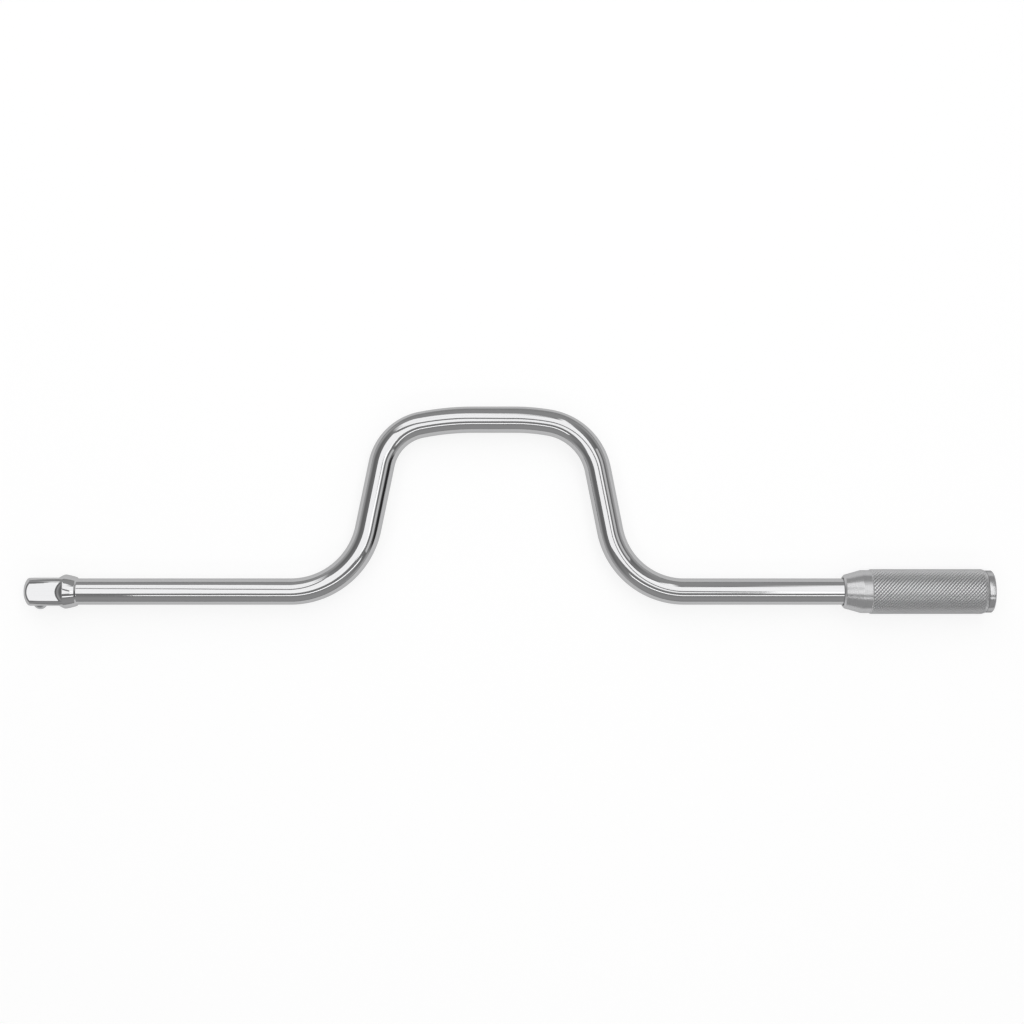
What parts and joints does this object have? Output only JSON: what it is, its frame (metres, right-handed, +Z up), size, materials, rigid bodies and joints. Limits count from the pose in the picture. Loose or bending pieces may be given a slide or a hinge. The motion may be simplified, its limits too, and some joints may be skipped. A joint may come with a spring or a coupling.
{
  "type": "speed brace",
  "caption": "Cranked steel speed brace with a half-inch square drive, a sprung detent ball and a freely revolving knurled grip.",
  "frame": {"origin": "centre of the drive square's end face, on the spin axis", "axes": "+X along the spin axis from the drive towards the grip, +Y the way the crank is thrown, +Z up as the tool lies flat"},
  "size_m": [0.44, 0.0945, 0.0204],
  "materials": {
    "chromed_steel": "mirror chrome plate on forged and bent bar",
    "bearing_steel": "polished ball",
    "spring_steel": "bare spring steel",
    "satin_steel": "satin chrome on turned and knurled steel",
    "bronze": "sintered bronze",
    "polished_steel": "polished turned steel"
  },
  "bodies": {
    "brace": {"crank_shaft": "chromed_steel", "detent_spring": "spring_steel", "thrust_washer": "spring_steel", "retaining_ring": "spring_steel"},
    "grip": {"grip_sleeve": "satin_steel", "front_bush": "bronze", "rear_bush": "bronze", "thrust_pad": "bronze", "end_cap": "polished_steel"},
    "ball": {"detent_ball": "bearing_steel"}
  },
  "joints": [
    {"name": "grip_spin", "type": "hinge", "parent": "brace", "child": "grip", "pos_m": [0.4, 0, 0], "axis": [1, 0, 0], "continuous": true},
    {"name": "detent_press", "type": "slide", "parent": "brace", "child": "ball", "axis": [0, 1, 0], "range_m": [0, 0.0017], "stiffness_N_per_m": 3000, "deforming": ["detent_spring"]}
  ]
}
